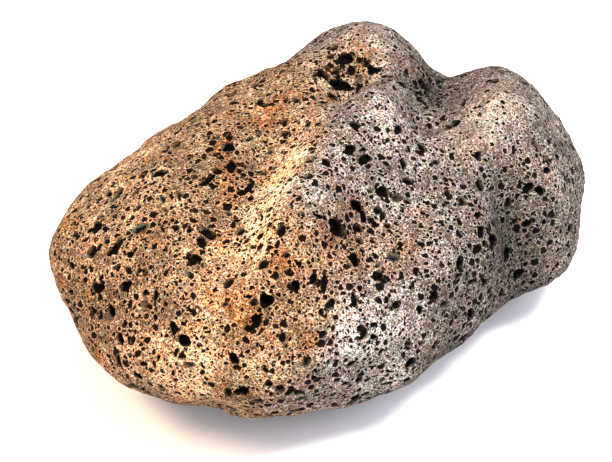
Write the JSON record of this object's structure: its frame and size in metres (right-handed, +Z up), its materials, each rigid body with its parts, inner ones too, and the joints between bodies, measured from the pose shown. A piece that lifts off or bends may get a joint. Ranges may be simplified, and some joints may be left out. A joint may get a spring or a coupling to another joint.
{
  "type": "pumice stone",
  "caption": "Loose palm-size piece of porous volcanic rock: a rounded block with a ridge, a valley, knobs and a saddle, pitted all over by burst gas bubbles; it rests on a worn flat foot.",
  "frame": {"origin": "middle of the stone's bounding box, at the height of the flat foot that it rests on", "axes": "+X along the stone's length towards its notched, two-knobbed end, +Y across it towards the plain back, +Z up from the foot"},
  "size_m": [0.1107, 0.0752, 0.0484],
  "materials": {
    "pumice": "matt, gritty and full of open pores; tan and ochre at one end, greyish mauve at the other, dark inside the bubbles"
  },
  "bodies": {
    "root": {"pumice_stone": "pumice"}
  },
  "joints": []
}
